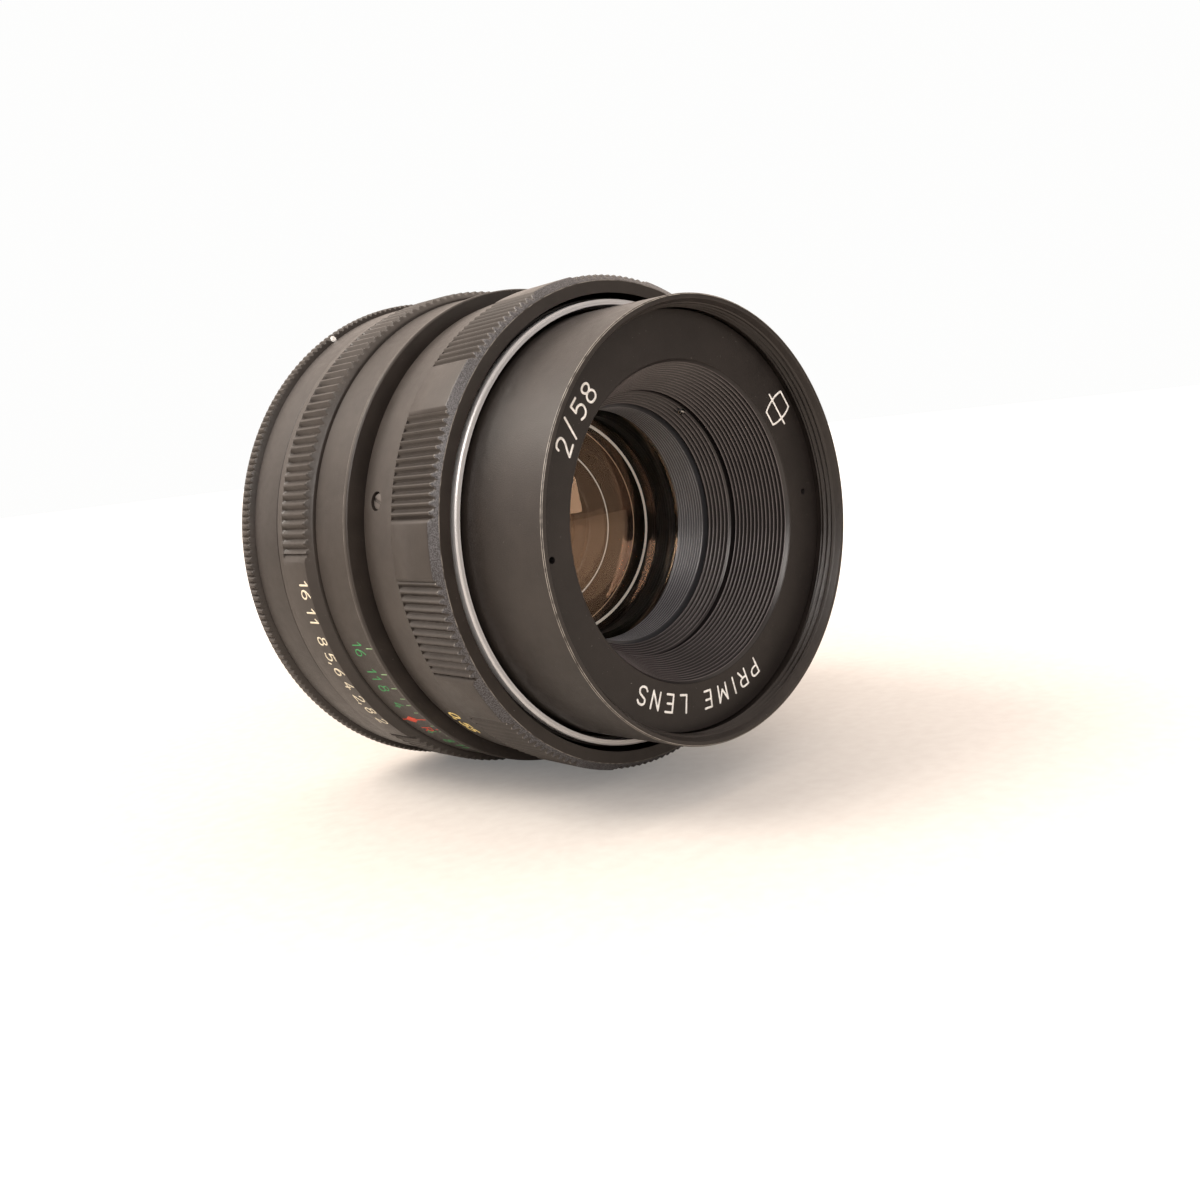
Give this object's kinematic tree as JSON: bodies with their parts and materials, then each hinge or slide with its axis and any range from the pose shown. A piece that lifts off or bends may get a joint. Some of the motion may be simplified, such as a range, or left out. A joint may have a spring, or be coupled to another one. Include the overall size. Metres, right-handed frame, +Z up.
{
  "type": "prime camera lens",
  "caption": "Manual prime lens for a single-lens reflex: screw mount, focusing ring with grip pads, sliding optical block, aperture ring and working bladed iris.",
  "frame": {"origin": "centre of the mounting flange face, on the optical axis", "axes": "+Y along the optical axis from the front glass to the camera; +Z up with the lens lying on its side as pictured; +X to the side"},
  "size_m": [0.0672, 0.065, 0.0672],
  "materials": {
    "satin_black": "aluminium with satin black enamel, thin bright wear on sharp edges",
    "matt_black": "aluminium with matt black anti-reflection paint, ribbed inside the front",
    "bright_aluminium": "turned bright aluminium",
    "plain_aluminium": "plain turned aluminium",
    "helicoid_brass": "greased brass",
    "bright_steel": "bright steel",
    "blade_steel": "blued spring steel",
    "coated_glass": "polished optical glass with an amber single-layer coating"
  },
  "bodies": {
    "base": {"base_tube": "satin_black", "depth_scale_ring": "satin_black", "guide_key_1": "helicoid_brass", "guide_key_2": "helicoid_brass", "mount_plate": "plain_aluminium", "mount_screw_1": "bright_steel", "mount_screw_2": "bright_steel", "mount_screw_3": "bright_steel", "click_ball": "bright_steel", "click_spring": "bright_steel", "pin_spring": "bright_steel", "lever_pivot": "bright_steel"},
    "focus": {"helicoid_ring": "helicoid_brass", "trim_ring": "bright_aluminium", "focus_ring": "satin_black", "set_screw_1": "bright_steel", "set_screw_2": "bright_steel", "set_screw_3": "bright_steel"},
    "barrel": {"front_tube": "satin_black", "name_ring": "matt_black", "hood_ring": "matt_black", "front_element_ring": "matt_black", "front_cell": "matt_black", "front_spacer": "matt_black", "front_meniscus": "coated_glass", "front_doublet_crown": "coated_glass", "front_doublet_flint": "coated_glass", "rear_doublet_flint": "coated_glass", "rear_doublet_crown": "coated_glass", "rear_element": "coated_glass", "iris_housing": "matt_black", "rear_cell": "matt_black", "rear_spacer": "matt_black", "rear_retaining_ring": "matt_black"},
    "aperture": {"aperture_ring": "satin_black", "aperture_fork": "bright_steel"},
    "mode": {"mode_ring": "satin_black"},
    "iris_drive": {"iris_drive_ring": "plain_aluminium"},
    "stop_pin": {"stop_pin": "bright_steel"},
    "stop_lever": {"stop_lever": "bright_steel"},
    "blade_1": {"iris_blade_1": "blade_steel"},
    "blade_2": {"iris_blade_2": "blade_steel"},
    "blade_3": {"iris_blade_3": "blade_steel"},
    "blade_4": {"iris_blade_4": "blade_steel"},
    "blade_5": {"iris_blade_5": "blade_steel"},
    "blade_6": {"iris_blade_6": "blade_steel"},
    "blade_7": {"iris_blade_7": "blade_steel"},
    "blade_8": {"iris_blade_8": "blade_steel"}
  },
  "joints": [
    {"name": "focus_turn", "type": "hinge", "parent": "base", "child": "focus", "pos_m": [0, 0, 0], "axis": [0, 1, 0], "range_deg": [0, 210]},
    {"name": "barrel_slide", "type": "slide", "parent": "base", "child": "barrel", "axis": [0, 1, 0], "range_m": [0, 0.00791]},
    {"name": "aperture_turn", "type": "hinge", "parent": "base", "child": "aperture", "pos_m": [0, -0.018, 0], "axis": [0, 1, 0], "range_deg": [-34.5, 4.5]},
    {"name": "iris_drive_turn", "type": "hinge", "parent": "barrel", "child": "iris_drive", "pos_m": [0, -0.0181, 0], "axis": [0, 1, 0], "range_deg": [-34.6, 4.6]},
    {"name": "mode_turn", "type": "hinge", "parent": "base", "child": "mode", "pos_m": [0, -0.0055, 0], "axis": [0, 1, 0], "range_deg": [-18, 0]},
    {"name": "stop_pin_press", "type": "slide", "parent": "base", "child": "stop_pin", "axis": [0, -1, 0], "range_m": [0, 0.0015], "stiffness_N_per_m": 700, "springref_m": -0.001, "deforming": ["pin_spring"]},
    {"name": "stop_lever_turn", "type": "hinge", "parent": "base", "child": "stop_lever", "pos_m": [0.0062, -0.0044, -0.01534], "axis": [-0.3746, 0, 0.9272], "range_deg": [0, 13.4]},
    {"name": "blade_1_swing", "type": "hinge", "parent": "barrel", "child": "blade_1", "pos_m": [0, -0.02185, 0.0176], "axis": [0, 1, 0], "range_deg": [-26.8, 3.6]},
    {"name": "blade_2_swing", "type": "hinge", "parent": "barrel", "child": "blade_2", "pos_m": [0.01244, -0.02153, 0.01244], "axis": [0, 1, 0], "range_deg": [-26.8, 3.6]},
    {"name": "blade_3_swing", "type": "hinge", "parent": "barrel", "child": "blade_3", "pos_m": [0.0176, -0.02121, 0], "axis": [0, 1, 0], "range_deg": [-26.8, 3.6]},
    {"name": "blade_4_swing", "type": "hinge", "parent": "barrel", "child": "blade_4", "pos_m": [0.01244, -0.02089, -0.01244], "axis": [0, 1, 0], "range_deg": [-26.8, 3.6]},
    {"name": "blade_5_swing", "type": "hinge", "parent": "barrel", "child": "blade_5", "pos_m": [0, -0.02057, -0.0176], "axis": [0, 1, 0], "range_deg": [-26.8, 3.6]},
    {"name": "blade_6_swing", "type": "hinge", "parent": "barrel", "child": "blade_6", "pos_m": [-0.01244, -0.02025, -0.01244], "axis": [0, 1, 0], "range_deg": [-26.8, 3.6]},
    {"name": "blade_7_swing", "type": "hinge", "parent": "barrel", "child": "blade_7", "pos_m": [-0.0176, -0.01993, 0], "axis": [0, 1, 0], "range_deg": [-26.8, 3.6]},
    {"name": "blade_8_swing", "type": "hinge", "parent": "barrel", "child": "blade_8", "pos_m": [-0.01244, -0.01961, 0.01244], "axis": [0, 1, 0], "range_deg": [-26.8, 3.6]}
  ],
  "couplings": [
    {"joint": "barrel_slide", "follows": "focus_turn", "m_per_rad": 0.0021554},
    {"joint": "iris_drive_turn", "follows": "aperture_turn", "ratio": 1},
    {"joint": "stop_lever_turn", "follows": "stop_pin_press", "rad_per_m": 153.87},
    {"joint": "blade_1_swing", "follows": "aperture_turn", "ratio": 0.772},
    {"joint": "blade_2_swing", "follows": "aperture_turn", "ratio": 0.772},
    {"joint": "blade_3_swing", "follows": "aperture_turn", "ratio": 0.772},
    {"joint": "blade_4_swing", "follows": "aperture_turn", "ratio": 0.772},
    {"joint": "blade_5_swing", "follows": "aperture_turn", "ratio": 0.772},
    {"joint": "blade_6_swing", "follows": "aperture_turn", "ratio": 0.772},
    {"joint": "blade_7_swing", "follows": "aperture_turn", "ratio": 0.772},
    {"joint": "blade_8_swing", "follows": "aperture_turn", "ratio": 0.772}
  ]
}
